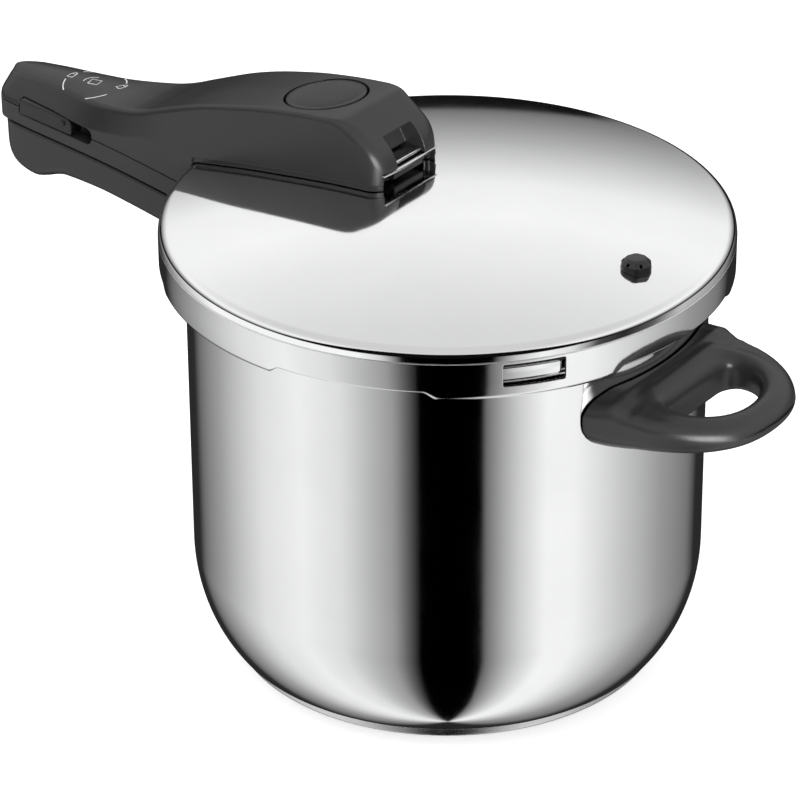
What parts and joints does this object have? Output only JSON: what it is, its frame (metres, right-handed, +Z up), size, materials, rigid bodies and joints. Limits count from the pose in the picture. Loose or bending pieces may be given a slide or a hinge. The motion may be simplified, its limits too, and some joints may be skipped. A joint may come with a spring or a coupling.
{
  "type": "pressure cooker",
  "caption": "Stovetop pressure cooker: deep steel pot, bayonet lid that turns and lifts off, long handle with pressure indicator and opening slider, looped side handle.",
  "frame": {"origin": "centre of the underside of the base, where the cooker stands", "axes": "+Z up through the lid, -X along the long handle, +X towards the looped side handle, +Y completes the right-handed frame"},
  "size_m": [0.408, 0.2448, 0.2419],
  "materials": {
    "polished_steel": "mirror-polished stainless steel",
    "base_steel": "fine-turned magnetic stainless steel",
    "base_core": "plain aluminium, sealed inside the base",
    "bracket_steel": "bright stainless sheet",
    "fastener_steel": "plain stainless steel",
    "spring_steel": "drawn spring wire",
    "handle_plastic": "satin black moulded phenolic with a fine grain",
    "slider_plastic": "satin black moulded nylon",
    "valve_plastic": "dark grey moulded silicone plug",
    "silicone": "matt grey food-grade silicone",
    "ring_low": "amber moulded plastic",
    "ring_high": "red moulded plastic"
  },
  "bodies": {
    "pot": {"pot_body": "polished_steel", "base_core_disc": "base_core", "base_capsule": "base_steel", "pot_handle": "handle_plastic", "pot_handle_bracket": "fastener_steel", "pot_handle_screw": "fastener_steel", "side_handle": "handle_plastic", "side_handle_bracket": "fastener_steel", "side_handle_screw": "fastener_steel"},
    "ring": {"sealing_ring": "silicone"},
    "lid": {"lid_shell": "polished_steel", "lid_front_bracket": "bracket_steel", "front_hook": "slider_plastic", "front_hook_plate": "bracket_steel", "lid_handle_upper_shell": "handle_plastic", "lid_handle_lower_shell": "handle_plastic", "handle_gasket": "silicone", "handle_screw_rear": "fastener_steel", "handle_screw_left": "fastener_steel", "handle_screw_right": "fastener_steel", "safety_valve_cap": "valve_plastic", "safety_valve_body": "fastener_steel", "safety_valve_nut": "fastener_steel", "safety_valve_ball": "fastener_steel", "indicator_spring": "spring_steel", "slider_spring": "spring_steel"},
    "indicator": {"indicator_cap": "handle_plastic", "indicator_ring_high": "ring_high", "indicator_ring_low": "ring_low", "indicator_stem": "fastener_steel"},
    "slider": {"slider_block": "slider_plastic", "locking_bar": "fastener_steel"}
  },
  "joints": [
    {"name": "lid_lift", "type": "slide", "parent": "pot", "child": "ring", "axis": [0, 0, 1], "range_m": [0, 0.12]},
    {"name": "lid_turn", "type": "hinge", "parent": "ring", "child": "lid", "pos_m": [0, 0, 0.1903], "axis": [0, 0, 1], "range_deg": [0, 36]},
    {"name": "indicator_rise", "type": "slide", "parent": "lid", "child": "indicator", "axis": [0, 0, 1], "range_m": [0, 0.008], "stiffness_N_per_m": 200, "springref_m": -0.004, "deforming": ["indicator_spring"]},
    {"name": "slider_push", "type": "slide", "parent": "lid", "child": "slider", "axis": [0.9957, 0, -0.0924], "range_m": [0, 0.011], "stiffness_N_per_m": 150, "springref_m": -0.005, "deforming": ["slider_spring"]}
  ]
}
